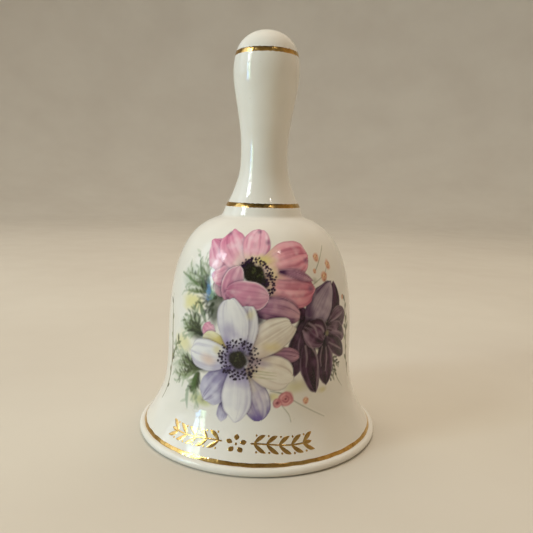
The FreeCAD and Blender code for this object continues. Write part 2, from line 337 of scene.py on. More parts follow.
def handle_profile():
    """The hollow handle's section from the inside of its crown down and up to the top."""
    inside_foot = (HANDLE_FOOT[0] - WALL, SEAM_HEIGHT)
    inside = evenly(handle_curve, handle_curve.length, HANDLE_CAVITY_FOOT, HANDLE_INSIDE_STEP, -WALL)
    inside[0] = (0.0, inside[0][1])
    outside = evenly(handle_curve, 0, handle_curve.length, OUTSIDE_STEP)
    outside[-1] = (0.0, outside[-1][1])
    foot = straight(inside_foot, seam_edge(), 0.8) + straight(seam_edge(), HANDLE_FOOT)
    return inside + foot + outside


# ---- Gilding ----
def gilt_ring(name, curve, start, end, seed, wobble=0.07):
    """A hand-lined band of gold between two lengths along a curve, its edges a little uneven."""
    angles = np.arange(TURNS) * 2 * math.pi / TURNS
    low = start + wobble * ring_noise(angles, seed)
    high = end + wobble * ring_noise(angles, seed + 1)
    across = np.linspace(0, 1, 9)
    lift = GILT_PROUD * (1 - np.abs(2 * across - 1) ** 4) - BAND_EDGE_DIP
    lift = lift * (1 + 0.15 * ring_noise(angles, seed + 2)[:, None])
    share = np.r_[across, across[::-1][1:-1]]
    proud = np.concatenate([lift, np.full((TURNS, len(across) - 2), -GILT_BEDDED)], axis=1)
    radius, height = curve.at(low[:, None] + (high - low)[:, None] * share, proud)
    x, y = radius * np.sin(angles)[:, None], -radius * np.cos(angles)[:, None]
    vertices = np.stack([x, y, height], -1).reshape(-1, 3)
    n = len(share)
    faces = [
        (k * n + i, (k + 1) % TURNS * n + i, (k + 1) % TURNS * n + (i + 1) % n, k * n + (i + 1) % n)
        for k in range(TURNS)
        for i in range(n)
    ]
    return new_piece(name, vertices, faces, sharp_degrees=70)


def smooth_path(points, count):
    """A dense path of (across, up, width) rows through a few control rows."""
    points = np.array(points, float)
    padded = np.vstack([2 * points[0] - points[1], points, 2 * points[-1] - points[-2]])
    t = np.linspace(0, len(points) - 1 - 1e-9, count)
    i = t.astype(int)
    u = (t - i)[:, None]
    a, b, c, d = (padded[i + k] for k in range(4))
    return 0.5 * (2 * b + (c - a) * u + (2 * a - 5 * b + 4 * c - d) * u**2
                  + (3 * b - a - 3 * c + d) * u**3)


def brush_mark(points, seed):
    """Vertices and faces of one mark of gold on the bell, from (across, up, width) rows."""
    length = np.hypot(*np.diff(np.array(points)[:, :2], axis=0).T).sum()
    path = smooth_path(points, max(9, int(length / 0.3)))
    tangent = np.gradient(path[:, :2], axis=0)
    tangent /= np.hypot(*tangent.T)[:, None] + 1e-9
    side = np.c_[-tangent[:, 1], tangent[:, 0]]
    distance = np.r_[0, np.cumsum(np.hypot(*np.diff(path[:, :2], axis=0).T))]
    half = path[:, 2] / 2 * (1 + 0.08 * noise(distance * 0.9, 0.5, seed))
    ends = np.minimum(distance, distance[-1] - distance)
    rounding = np.clip(ends / np.maximum(half, 1e-6), 0, 1)
    half = half * np.sqrt(np.clip(1 - (1 - rounding) ** 2, 0.02, 1))
    across = np.linspace(-1, 1, 7)
    lift = GILT_PROUD * (1 - across**4) - MARK_EDGE_DIP
    offsets = np.r_[across, across[::-1][1:-1]]
    proud = np.r_[lift, np.full(len(across) - 2, -GILT_BEDDED)]
    flat = path[:, None, :2] + side[:, None] * (half[:, None] * offsets)[..., None]
    vertices = on_bell(flat[..., 0], flat[..., 1], np.broadcast_to(proud, flat.shape[:2]))
    n, rows = len(offsets), len(path)
    faces = [
        (k * n + i, k * n + (i + 1) % n, (k + 1) * n + (i + 1) % n, (k + 1) * n + i)
        for k in range(rows - 1)
        for i in range(n)
    ]
    faces += [tuple(range(n))[::-1], tuple((rows - 1) * n + i for i in range(n))]
    return vertices.reshape(-1, 3), faces


def garland_marks():
    """A five-petalled flower between two laurel branches, as (across, up, width) brush marks."""
    centre = np.array(GARLAND_CENTRE)
    marks = [dab(centre, 0.9)]
    for turn in range(5):
        angle = math.radians(90 + 72 * turn)
        marks.append([(*around(centre, (reach, reach), angle), width)
                      for reach, width in ((1.0, 0.5), (1.8, 1.5), (2.7, 0.9))])
    for side in (-1, 1):
        marks += laurel_marks(centre, side)
    return marks


def laurel_marks(centre, side):
    """One branch of the garland: stem, leaves in pairs with berries by them, a last leaf."""
    def spot(reach, rise):
        wave = 0.35 * math.sin(reach / GARLAND_REACH * 2 * math.pi)
        return centre[0] + side * reach, centre[1] + wave + rise

    stops = np.linspace(3.5, GARLAND_REACH - 2.2, 7)
    marks = [[(*spot(reach, 0), 0.55) for reach in stops]]
    leaf = ((0.0, 0.0, 0.35), (0.9, 1.0, 1.1), (1.9, 1.95, 1.2), (2.9, 2.5, 0.3))
    for reach in np.arange(4.4, GARLAND_REACH - 2.0, LEAF_PITCH):
        for up in (-1, 1):
            marks.append([(*spot(reach + a, up * b), width) for a, b, width in leaf])
            marks.append(dab(np.array(spot(reach + 0.2 * LEAF_PITCH, up * 2.3)), 0.75))
    tip = ((-2.4, 0.4), (-1.2, 1.3), (0.0, 0.3))
    marks.append([(*spot(GARLAND_REACH + a, 0), width) for a, width in tip])
    return marks


def dab(centre, size):
    """A round touch of the brush."""
    return [(centre[0] + step * size, centre[1], size * 1.15) for step in (-0.35, 0.0, 0.35)]


def gilt_garland(name):
    """All the garland's marks as one piece."""
    vertices, faces, start = [], [], 0
    for number, mark in enumerate(garland_marks()):
        points, quads = brush_mark(mark, 100 + number)
        vertices.append(points)
        faces += [tuple(start + i for i in quad) for quad in quads]
        start += len(points)
    return new_piece(name, np.concatenate(vertices), faces, sharp_degrees=70)


# ---- Painting ----
class Sheet:
    """Paint on a flat sheet: colour and cover for every cell, laid on mark by mark."""

    def __init__(self, left, right, bottom, top):
        self.across = np.arange(left, right + PAINT_CELL, PAINT_CELL)
        self.up = np.arange(bottom, top + PAINT_CELL, PAINT_CELL)
        self.x, self.y = np.meshgrid(self.across, self.up)
        self.colour = np.tile(linear(PORCELAIN), self.x.shape + (1,))
        self.cover = np.zeros(self.x.shape)

    def window(self, low, high, margin=2.0):
        """The part of the sheet round a box, and its cells' places across and up."""
        columns = np.searchsorted(self.across, (low[0] - margin, high[0] + margin))
        rows = np.searchsorted(self.up, (low[1] - margin, high[1] + margin))
        window = (slice(*rows), slice(*columns))
        return window, self.x[window], self.y[window]

    def lay(self, window, colour, cover):
        """Lay one mark over what is there. Cover runs from 0 to 1."""
        cover = np.clip(cover, 0, 1)
        old = self.cover[window]
        total = cover + old * (1 - cover)
        share = np.where(total > 1e-6, cover / np.maximum(total, 1e-6), 0)[..., None]
        self.colour[window] = colour * share + self.colour[window] * (1 - share)
        self.cover[window] = total

    def darken(self, window, amount):
        """Shade what is painted already."""
        self.colour[window] *= 1 - np.clip(amount, 0, 1)[..., None] * (0.62, 0.66, 0.55)


class Brush:
    """Lays marks on a sheet at one place and size, mirrored or not."""

    def __init__(self, sheet, across=0.0, up=0.0, scale=1.0, flip=False):
        self.sheet = sheet
        self.origin = np.array([across, up])
        self.scale = scale
        self.stretch = np.array([-scale if flip else scale, scale])

    def put(self, point):
        """A point of the motif as a point of the sheet."""
        return self.origin + np.array(point) * self.stretch

    def petal(self, petal, look, seed):
        """One petal: base point, tip point, width, roundness of its tip, sideways bend."""
        base, tip, width, roundness, bend = petal
        base, tip, width = self.put(base), self.put(tip), width * self.scale
        axis = tip - base
        length = np.hypot(*axis)
        axis = axis / length
        room = width * 0.6
        window, x, y = self.sheet.window(np.minimum(base, tip) - room, np.maximum(base, tip) + room)
        x, y = x - base[0], y - base[1]
        along = (x * axis[0] + y * axis[1]) / length
        aside = -x * axis[1] + y * axis[0]
        tear = look["ragged"] * noise(aside * 0.5 + 7, 0.3, seed + 3)
        along = along * (1 + tear * ease(0.4, 1, along))
        t = np.clip(along, 0, 1)
        aside = aside - bend * width * 4 * t * (1 - t)
        half = petal_half_width(look, width, roundness, along, aside, seed)
        side = np.clip(aside / np.maximum(half, 0.2), -1.2, 1.2)
        inside = np.minimum(half - np.abs(aside), np.minimum(along, 1 - along) * length + 0.3)
        cover = ease(-0.12, 0.2, inside)
        gloom = 0.55 * ease(-0.7, 0.0, inside) + 0.35 * ease(-2.2, 0.0, inside)
        self.sheet.darken(window, gloom * (1 - cover) * look["shadow"])
        self.sheet.lay(window, petal_colour(look, x, y, t, side, inside, seed), cover)

    def petals(self, rows, seed):
        """Petals laid one over the next, each with its look at the end of its row."""
        for number, (*petal, look) in enumerate(rows):
            self.petal(petal, look, seed + number)

    def line(self, points, colour, opacity=1.0, soft=0.15, seed=0):
        """A tapering brush line from (across, up, width) rows."""
        rows = smooth_path(points, 8 * len(points))
        spots = np.array([self.put(row[:2]) for row in rows])
        widths = rows[:, 2] * self.scale
        window, x, y = self.sheet.window(spots.min(axis=0), spots.max(axis=0))
        gap = np.full(x.shape, 1e3)
        for (a, b), (wide_a, wide_b) in zip(zip(spots, spots[1:]), zip(widths, widths[1:])):
            step = b - a
            t = ((x - a[0]) * step[0] + (y - a[1]) * step[1]) / max(step @ step, 1e-9)
            t = np.clip(t, 0, 1)
            reach = np.hypot(x - a[0] - step[0] * t, y - a[1] - step[1] * t)
            gap = np.minimum(gap, reach - (wide_a + (wide_b - wide_a) * t) / 2)
        uneven = 1 - 0.25 * np.clip(noise(x * 0.8, y * 0.8, seed), 0, 1)
        self.sheet.lay(window, linear(colour), ease(soft, -soft, gap) * opacity * uneven)

    def spot(self, centre, radii, colour, opacity=1.0, soft=0.3, seed=0):
        """A round or oval dab, from crisp (soft 0.3) to a wash (soft 1)."""
        centre, radii = self.put(centre), np.array(radii) * self.scale
        window, x, y = self.sheet.window(centre - radii, centre + radii)
        reach = np.hypot((x - centre[0]) / radii[0], (y - centre[1]) / radii[1])
        reach = reach * (1 + 0.18 * noise(x * 0.6, y * 0.6, seed))
        self.sheet.lay(window, linear(colour), ease(1, 1 - soft, reach) * opacity)

    def spots(self, rows, seed):
        """Dabs from rows of centre, radii, colour, opacity and softness."""
        for row in rows:
            self.spot(*row, seed=seed)


def petal_half_width(look, width, roundness, along, aside, seed):
    """Half a petal's width from its base to its tip, with a frilled edge."""
    t = np.clip(along, 0, 1)
    climb = np.clip(t / look["widest"], 0, 1)
    rising = look["waist"] + (1 - look["waist"]) * np.sin(climb * math.pi / 2)
    if look["cupped"]:
        rising = np.sqrt(np.clip(1 - (1 - climb) ** 2, 0, 1))
    past_widest = np.clip((t - look["widest"]) / (1 - look["widest"]), 0, 1)
    falling = np.clip(1 - past_widest**2, 0, 1) ** roundness
    frill = 1 + look["frill"] * noise(along * 6, np.sign(aside) * 3 + 9, seed) * ease(0.3, 0.8, t)
    return width / 2 * np.minimum(rising, falling) * frill


def petal_colour(look, x, y, t, side, inside, seed):
    """A petal's colour in every cell: root, body and end, then veins, bloom, fold and rim."""
    def mixed(colour, target, share):
        return colour + (target - colour) * share[..., None]

    body, shade, light = look["body"], look["shade"], look["light"]
    drift = 0.12 * noise(x * 0.35, y * 0.35, seed + 5)
    toward_end = ease(0.5, 1.0, t + drift)[..., None]
    toward_root = ease(0.42, 0.05, t + drift)[..., None]
    colour = body + (look["end"] - body) * toward_end + (look["root"] - body) * toward_root
    veins = noise(side * 5.5 + 20, t * 1.3, seed + 1) + 0.6 * noise(side * 12, t * 2, seed + 2)
    colour = mixed(colour, shade, np.clip(veins * look["veins"] * (0.35 + t), 0, 1))
    colour = mixed(colour, light, np.clip(-veins * look["veins"] * 0.5, 0, 1))
    bloom = noise(x * 0.42 + 3, y * 0.42 + 5, seed + 6) + 0.5 * noise(x * 0.95, y * 0.95, seed + 7)
    colour = mixed(colour, light, np.clip(bloom * look["bloom"], 0, 0.6))
    colour = mixed(colour, shade, np.clip(-bloom * look["bloom"] * 0.6, 0, 0.4))
    colour = mixed(colour, shade, ease(-0.1, 1.0, side * look["fold"]) * 0.55)
    edge = ease(0.55, 0.1, inside) * ease(0.15, 0.5, t) * look["rim_share"]
    return mixed(colour, look["rim"], edge)


PETAL_HABIT = {
    "widest": 0.6,      # where the petal is widest, from 0 at its base to 1 at its tip
    "waist": 0.35,      # how narrow it starts
    "cupped": False,    # or round at its base
    "frill": 0.05,      # how uneven its sides are
    "ragged": 0.05,     # and its tip
    "veins": 0.5,
    "bloom": 0.45,      # soft lights and shades
    "fold": 0.0,        # shade down one side
    "rim_share": 0.4,
    "shadow": 1.0,      # on what lies under it
}


def petal_look(root, body, end, shade, light, rim, **habit):
    """A petal's colours, and how its shape and marking differ from the usual."""
    colours = {"root": root, "body": body, "end": end, "shade": shade, "light": light, "rim": rim}
    return {**{name: linear(code) for name, code in colours.items()}, **PETAL_HABIT, **habit}


PINK = petal_look("F0DCC8", "F2B6C8", "E08EAC", "BC6888", "FCE8EE", "AC7494", veins=0.6, frill=0.13,
                  ragged=0.10, shadow=0.5)
PINK_DUSTY = petal_look("F0DAB8", "F2AEBA", "DA8496", "AC5A74", "F8D4DC", "9A4A64", veins=0.6,
                        frill=0.13, fold=0.3, ragged=0.10, shadow=0.7)
PINK_FRONT = petal_look("BC7290", "D894AC", "E4B0C0", "AC6684", "ECC8D0", "F0D8DC", fold=-0.5,
                        rim_share=0.9, cupped=True, widest=0.5, ragged=0.0, frill=0.08)
MAUVE = petal_look("3E2046", "B07E98", "C898A6", "5C3058", "D8B0BA", "7A4A62", veins=0.75, fold=-0.6,
                   frill=0.08)
SOFT_WHITE = petal_look("9C8FBC", "E8E6E8", "F2F0EC", "948AB2", "FAF8F6", "A49CB4", bloom=0.15,
                        waist=0.4, rim_share=0.55, fold=0.4)
WARM_WHITE = petal_look("C8AC96", "EADFCF", "F2ECDF", "AA8E7A", "FBF8F0", "A2948E", veins=0.45,
                        bloom=0.2, waist=0.4, rim_share=0.55, fold=-0.4)
LAVENDER = petal_look("6C6290", "A8A2C2", "D2CFDE", "7C7098", "E4E2EA", "BAB6CA", veins=0.6,
                      waist=0.5, fold=-0.4)
VIOLET_TIP = petal_look("E0CE7C", "D6CCD2", "6A5A92", "7E6CA2", "F0ECEC", "5A4884", veins=0.6,
                        waist=0.5, rim_share=0.9)
YELLOW = petal_look("D8C050", "E8DA8C", "EEEACC", "CDB65C", "F2EED8", "CCC498", veins=0.3,
                    frill=0.03, waist=0.6)
NIGHT = petal_look("1A0418", "3A0A30", "280420", "160208", "744E6E", "A48CA0", veins=0.9,
                   rim_share=0.5, shadow=0.9, widest=0.5)
DUSK = petal_look("28061E", "5C3252", "3C1232", "200618", "AC90A4", "B098A8", veins=0.95,
                  rim_share=0.5, fold=0.5, shadow=0.9, widest=0.5)
NIGHT_OPEN = petal_look("44204A", "AA98AA", "9C889C", "4C2A50", "D2C2CC", "34163A", veins=0.7,
                        frill=0.03, fold=0.9, rim_share=1.0, widest=0.42)
FERN = ("3A4828", "52633A", "6E7E50", "8C9A74", "5C6C44")
DARK_FERN = ("262C1A", "323C20", "46522E", "2C3420")
PALE_FERN = ("98A686", "B0BA9E", "889678", "BEC6B0")


def draw_stamens(brush, centre, inner, outer, count, colour, seed, start=0.0, end=360.0):
    """Dots on faint threads round a flower's eye, evenly strewn between two distances."""
    random = np.random.RandomState(seed)
    for number in range(count):
        turn = number * GOLDEN % 1
        angle = math.radians(start + (end - start) * turn + random.uniform(-3, 3))
        share = ((number + 0.5) / count) ** 0.8
        reach = outer[0] + (outer[1] - outer[0]) * share + random.uniform(-0.25, 0.25)
        dot = around(centre, (reach, reach), angle)
        foot = around(centre, (inner, inner), angle)
        brush.line([(*foot, 0.25), (*dot, 0.2)], colour, 0.28)
        size = random.uniform(0.34, 0.52)
        brush.spot(dot, (size, size), colour, 1.0, soft=0.35)


def draw_eye(brush, centre, radii, seed):
    """The dark, slightly green middle of an anemone."""
    random = np.random.RandomState(seed)
    brush.spot(centre, np.array(radii) * 1.25, "3A3A2A", 0.6, soft=0.5, seed=seed)
    brush.spot(centre, radii, "1E1E14", 1.0, soft=0.25, seed=seed)
    for _ in range(16):
        angle, reach = random.uniform(0, 2 * math.pi), random.uniform(0, 0.85)
        spot = around(centre, (radii[0] * reach, radii[1] * reach), angle)
        colour = ("3E4424", "50562E", "262018")[random.randint(3)]
        brush.spot(spot, (0.42, 0.42), colour, 0.7, soft=0.7)


def draw_pink_anemone(brush, seed):
    """Broad pink petals round a dark slanting eye, one petal curled up over its front."""
    brush.petals([
        ((-5, 0), (-18.6, 9.0), 8.6, 0.5, 0.1, PINK),
        ((-5, 4), (-13.4, -6.4), 8.4, 0.5, 0.12, MAUVE),
        ((-4.5, 3), (-15.2, -2.6), 6.0, 0.5, 0.10, PINK),
        ((-3.5, 1), (-13.2, 13.4), 10.4, 0.66, 0.05, PINK),
        ((-1.5, 2), (0.2, 14.9), 10.4, 0.66, 0.03, PINK),
        ((0.5, -3), (18.2, -4.6), 12.0, 0.75, -0.03, PINK_DUSTY),
        ((1, 2), (17.9, 5.8), 12.0, 0.42, 0.03, PINK_DUSTY),
        ((7, 0.9), (18.2, -2.2), 2.8, 0.9, 0.22, MAUVE),
    ], seed)
    for tip in ((-12.6, 12.6), (0.1, 13.9), (3.4, 9.8), (16.8, 4.0), (17.2, -4.4)):
        brush.spot(tip, (1.6, 1.5), "7A5474", 0.75, soft=1.0, seed=seed)
    brush.spot((1.5, 4.2), (6.0, 2.6), "E4D48C", 0.9, soft=0.9, seed=seed)
    brush.spot((5.0, 0.6), (2.4, 4.4), "E2CFA0", 0.7, soft=0.9, seed=seed)
    for step in (-0.9, -0.3, 0.4, 1.0):
        slant = (-1.0 + 2.2 * step, -0.2 - 2.5 * step)
        brush.spot(slant, (2.7, 2.4), "1C2012", 1.0, soft=0.35, seed=seed)
    draw_eye(brush, (-1.2, 0.0), (3.4, 3.0), seed)
    draw_stamens(brush, (-1.2, -0.4), 3.0, (3.9, 5.4), 54, "2C1834", seed, -40, 175)
    draw_stamens(brush, (1.0, -2.2), 2.6, (3.2, 4.9), 22, "2C1834", seed + 1, -70, 50)
    brush.petal(((-4.0, -9.8), (13.4, -12.4), 7.4, 0.5, 0.16), MAUVE, seed + 10)
    brush.spot((-0.6, -13.0), (4.8, 3.0), "34163C", 0.9, soft=0.6, seed=seed)
    brush.petal(((-8.6, -8.8), (-6.0, 2.2), 6.6, 0.5, 0.10), PINK_FRONT, seed + 9)
    brush.petal(((-9.6, -5.4), (3.6, -6.6), 8.6, 0.5, -0.04), PINK_FRONT, seed + 12)


def draw_white_anemone(brush, seed):
    """Pale petals washed with lavender and yellow round an inky eye ringed with dots."""
    brush.petals([
        ((-7.5, 6.0), (-11.2, 9.0), 4.6, 0.45, 0.0, PINK),
        ((-2.5, 1.5), (-11.2, 5.6), 7.6, 0.42, 0.06, YELLOW),
        ((6, 1.8), (17.6, 0.8), 5.0, 0.6, 0.08, MAUVE),
        ((1.4, -3.5), (7.0, -17.8), 8.4, 0.55, 0.06, VIOLET_TIP),
        ((-4, -13), (-4.0, -18.8), 3.4, 0.9, 0.0, LAVENDER),
        ((-2, -2.0), (-10.2, -13.2), 9.4, 0.36, 0.04, LAVENDER),
        ((0, -2), (-0.2, -18.7), 8.8, 0.9, -0.02, SOFT_WHITE),
        ((3, -1.4), (15.6, -5.8), 10.4, 0.42, 0.03, WARM_WHITE),
        ((2, 1.6), (15.2, 10.6), 9.8, 0.40, 0.05, WARM_WHITE),
        ((-2, 0.2), (-16.0, 0.2), 9.6, 0.42, 0.02, SOFT_WHITE),
        ((1.4, 1.8), (2.0, 15.9), 8.4, 0.48, 0.06, SOFT_WHITE),
        ((-0.8, 2), (-3.9, 17.6), 9.6, 0.62, -0.05, SOFT_WHITE),
    ], seed)
    brush.spots([
        ((-3.2, 8.6), (3.4, 3.6), "8D80AE", 0.55, 0.95),
        ((9.5, 4.0), (4.2, 2.2), "DCC77A", 0.55, 0.95),
        ((3.2, 13.2), (2.0, 2.4), "E2D488", 0.5, 1.0),
        ((-6.6, 2.2), (2.6, 2.4), "D8C765", 0.5, 0.95),
        ((-9.4, -1.2), (4.2, 2.8), "DDB8A0", 0.6, 0.95),
        ((7.0, -1.0), (4.0, 1.6), "9A8CB0", 0.45, 0.95),
    ], seed)
    for rise in (-5.2, -4.2, -3.4):
        brush.line([(3.0, rise + 0.6, 0.3), (7, rise + 0.1, 0.5), (11, rise - 0.4, 0.2)], "A6A264", 0.5)
    brush.spot((0.2, -0.2), (7.2, 7.0), "6E608C", 0.5, soft=0.9, seed=seed)
    draw_eye(brush, (0, 0), (2.8, 3.2), seed)
    draw_stamens(brush, (0, 0), 2.6, (3.3, 6.3), 96, "1E1028", seed)


def draw_night_anemone(brush, seed):
    """A flower of deep purple, half turned away, with one pale open petal at its top."""
    for centre, radii in (((-7.5, 0.5), (4.2, 8.5)), ((0, -1.5), (6.5, 5.5)), ((0, -8), (4.5, 5))):
        brush.spot(centre, radii, "2A0624", 1.0, soft=0.3, seed=seed)
    brush.petals([
        ((-7.5, 4.0), (-9.4, 8.2), 3.2, 0.6, 0.0, NIGHT),
        ((2.0, 2.0), (5.2, 14.6), 7.6, 1.0, -0.06, NIGHT),
        ((-6.2, 1.6), (4.4, 15.2), 10.4, 1.15, 0.05, NIGHT_OPEN),
        ((1.5, 1.8), (10.8, 4.6), 8.0, 0.55, -0.05, DUSK),
        ((0, 0.5), (9.9, -3.6), 7.0, 0.55, 0.05, DUSK),
        ((0.5, -2.0), (9.8, -9.4), 5.6, 0.6, 0.05, NIGHT),
        ((-7.2, 4.0), (-10.9, -12.6), 6.6, 0.85, -0.12, NIGHT),
        ((-7.0, 2.5), (-7.6, -9.0), 5.4, 0.6, 0.0, NIGHT),
        ((-1.2, -3.0), (0.6, -17.6), 6.8, 0.85, 0.04, NIGHT),
        ((-6.8, -1.5), (-3.6, -18.8), 6.6, 0.85, -0.10, NIGHT),
        ((-7.8, 2.0), (-0.6, -2.8), 9.2, 0.5, 0.05, DUSK),
    ], seed)
    streaks = [
        [(-6.6, -2.6, 0.4), (-3.4, -7.5, 0.5), (-3.0, -13.0, 0.4), (-3.4, -17.5, 0.2)],
        [(1.2, -4.8, 0.3), (3.3, -8.0, 0.45), (3.6, -11.5, 0.2)],
        [(1.5, -3.8, 0.3), (5.0, -5.6, 0.5), (8.6, -7.4, 0.2)],
        [(-4.2, 2.4, 0.4), (-1.6, 1.2, 0.6), (-0.4, -1.6, 0.3)],
        [(2.4, 2.6, 0.3), (6.0, 3.3, 0.5), (8.8, 4.0, 0.2)],
        [(-7.6, -3.6, 0.5), (-7.0, -7.0, 0.5), (-7.2, -10.0, 0.2)],
        [(0.2, -5.0, 0.3), (0.6, -8.4, 0.5), (0.2, -12.4, 0.2)],
        [(-1.4, -4.6, 0.3), (-2.0, -8.0, 0.4), (-1.6, -10.6, 0.2)],
        [(3.0, -0.4, 0.3), (6.4, -1.4, 0.5), (9.2, -2.6, 0.2)],
        [(-6.4, 3.0, 0.5), (-4.4, 1.6, 0.7), (-3.2, -1.2, 0.3)],
    ]
    for streak in streaks:
        brush.line(streak, "A8929E", 0.7, soft=0.3)
    brush.spot((0.6, -0.8), (1.2, 1.4), "8A8462", 0.8, soft=0.8)
    brush.spot((-0.5, -0.8), (0.6, 0.75), "140A14", 1.0, soft=0.5)


def draw_frond(brush, root, tip, leaflet, colours, seed):
    """A feathery leaf: a bowed stem with forward-leaning needles, each ending in a touch."""
    random = np.random.RandomState(seed)
    root, tip = np.array(root, float), np.array(tip, float)
    axis = tip - root
    length = np.hypot(*axis)
    axis = axis / length
    aside = np.array([-axis[1], axis[0]])
    sag = 0.10 * length * random.uniform(-1, 1)

    def on_stem(t):
        return root + axis * length * t + aside * sag * math.sin(math.pi * t)

    stem = [(*on_stem(t), 0.75 - 0.5 * t) for t in (0, 0.5, 1)]
    brush.line(stem, colours[0], 0.85, seed=seed)
    needles = max(5, int(length / 0.95))
    for number in range(needles):
        t = 0.12 + 0.88 * (number + random.uniform(0.2, 0.8)) / needles
        foot = on_stem(t)
        side = 1 if number % 2 else -1
        reach = leaflet * (0.6 + 0.5 * math.sin(math.pi * min(1, t + 0.1))) * random.uniform(0.7, 1.3)
        way = axis * random.uniform(0.75, 1.0) + aside * side * random.uniform(0.35, 0.75)
        end = foot + way * reach
        bow = (foot + end) / 2 + aside * side * 0.10 * reach
        colour = colours[random.randint(len(colours))]
        rows = [(*foot, 0.35), (*bow, random.uniform(0.5, 0.85)), (*end, 0.3)]
        brush.line(rows, colour, random.uniform(0.65, 1.0), seed=seed + number)
        if random.uniform() < 0.45:
            size = random.uniform(0.35, 0.6)
            brush.spot(end, (size, size), colour, 0.8, soft=0.6)


def draw_fan(brush, root, reach, angles, count, colours, seed):
    """Soft leaves brushed outwards from one root, each with a few short strokes at its sides."""
    random = np.random.RandomState(seed)
    root = np.array(root, float)
    step = angles[1] - angles[0]
    for number in range(count):
        turn = math.radians(angles[0] + step * (number + random.uniform(0, 1)) / count)
        way = np.array([math.cos(turn), math.sin(turn)])
        aside = np.array([-way[1], way[0]])
        length = reach * random.uniform(0.6, 1.0)
        bow = aside * length * random.uniform(-0.14, 0.14)
        colour = colours[random.randint(len(colours))]
        middle, end = root + way * length * 0.55 + bow, root + way * length
        rows = [(*root, 0.9), (*middle, random.uniform(0.5, 0.9)), (*end, 0.4)]
        brush.line(rows, colour, random.uniform(0.6, 0.9), soft=0.4, seed=seed + number)
        for share in np.arange(0.35, 1.0, 1.5 / length):
            foot = root + way * length * share + bow * 4 * share * (1 - share)
            lean = aside * random.choice((-1, 1)) * random.uniform(0.4, 1.0)
            lean = lean + way * random.uniform(0.6, 1.1)
            touch = foot + lean * random.uniform(0.8, 2.0)
            colour = colours[random.randint(len(colours))]
            rows = [(*foot, 0.4), (*((foot + touch) / 2), random.uniform(0.5, 1.0)), (*touch, 0.35)]
            brush.line(rows, colour, random.uniform(0.45, 0.95), soft=0.35, seed=seed)


def draw_foliage(brush, seed):
    """Feathery leaves in three clusters to the left of the flowers, over soft washes."""
    washes = [
        ((-24.5, 53.0), (7.5, 6.0), "C8D0C0"), ((-22.5, 38.5), (6.6, 3.6), "C2CCB8"),
        ((-27.5, 23.8), (6.4, 5.0), "D0D4C2"), ((-22.4, 45.6), (6.8, 4.2), "E6DE9C"),
        ((-26.0, 32.4), (6.0, 4.6), "E4DEAC"), ((-17.0, 16.8), (6.4, 2.6), "C8CC92"),
    ]
    leaves = [
        ((-16.0, 49.5), 14.5, (102, 192), 11, PALE_FERN),
        ((-18.6, 36.8), 10.0, (104, 205), 10, PALE_FERN),
        ((-17.6, 26.6), 15.5, (152, 218), 11, PALE_FERN),
        ((-19.0, 24.0), 11.0, (235, 272), 4, PALE_FERN),
        ((-16.0, 49.5), 11.5, (104, 190), 6, FERN),
        ((-18.6, 36.8), 8.0, (92, 186), 7, FERN),
        ((-17.6, 26.6), 12.5, (158, 210), 7, FERN),
        ((-19.0, 24.0), 7.0, (236, 268), 4, FERN),
    ]
    clumps = [
        ((-14.0, 47.6), (4.6, 3.8)), ((-11.5, 49.0), (2.6, 2.4)), ((-13.8, 43.0), (2.6, 4.4)),
        ((-19.2, 36.4), (4.0, 2.8)), ((-18.0, 26.6), (5.4, 2.4)), ((-19.0, 22.6), (1.8, 3.6)),
    ]
    dark_leaves = [
        ((-14.0, 48.0), 8.0, (115, 200), 7, DARK_FERN),
        ((-18.0, 36.6), 6.5, (100, 196), 6, DARK_FERN),
        ((-17.0, 26.8), 9.0, (160, 205), 5, DARK_FERN),
        ((-14.6, 46.0), 5.0, (215, 285), 4, DARK_FERN),
        ((-18.6, 24.4), 7.0, (240, 264), 3, DARK_FERN),
    ]
    blades = [
        ([(-22.6, 58.2, 0.4), (-20.4, 54.4, 1.0), (-18.6, 51.0, 0.6)], "4A6434"),
        ([(-30.6, 53.6, 0.5), (-26.0, 52.6, 0.9), (-21.0, 50.8, 0.5)], "5E7A4A"),
        ([(-19.4, 46.0, 0.5), (-18.0, 43.2, 1.6), (-16.7, 40.6, 0.8)], "43602C"),
        ([(-19.6, 24.0, 0.9), (-20.4, 20.4, 1.7), (-20.0, 17.8, 0.5)], "48652F"),
        ([(-22.4, 19.0, 0.5), (-22.6, 16.0, 1.3), (-21.6, 13.0, 0.3)], "A2B09A"),
    ]
    for centre, radii, colour in washes:
        brush.spot(centre, radii, colour, 0.9, soft=0.8, seed=seed)
    for number, fan in enumerate(leaves):
        draw_fan(brush, *fan, seed + 20 * number)
    for centre, radii in clumps:
        brush.spot(centre, radii, "3A482C", 0.85, soft=0.75, seed=seed + 3)
    for number, fan in enumerate(dark_leaves):
        draw_fan(brush, *fan, seed + 150 + 20 * number)
    for rows, colour in blades:
        brush.line(rows, colour, 0.85, soft=0.35, seed=seed)


def draw_twig(brush, points, leaf_length, seed):
    """A side stem with a few slender leaves in turn to its left and right."""
    random = np.random.RandomState(seed)
    brush.line(points, "6B6238", 0.85, soft=0.25, seed=seed)
    path = smooth_path(points, 60)[8:-2]
    for number, row in enumerate(path[::9]):
        ahead = path[min(number * 9 + 1, len(path) - 1)] - path[max(number * 9 - 1, 0)]
        ahead = ahead[:2] / (np.hypot(*ahead[:2]) + 1e-9)
        side = (1 if number % 2 else -1) * np.array([-ahead[1], ahead[0]])
        way = ahead * random.uniform(0.7, 1.0) + side * random.uniform(0.3, 0.7)
        reach = leaf_length * random.uniform(0.6, 1.2)
        rows = [(*row[:2], 0.3), (*(row[:2] + way * reach * 0.5), 1.1), (*(row[:2] + way * reach), 0.15)]
        brush.line(rows, FERN[number % len(FERN)], 0.85, soft=0.2, seed=seed + number)


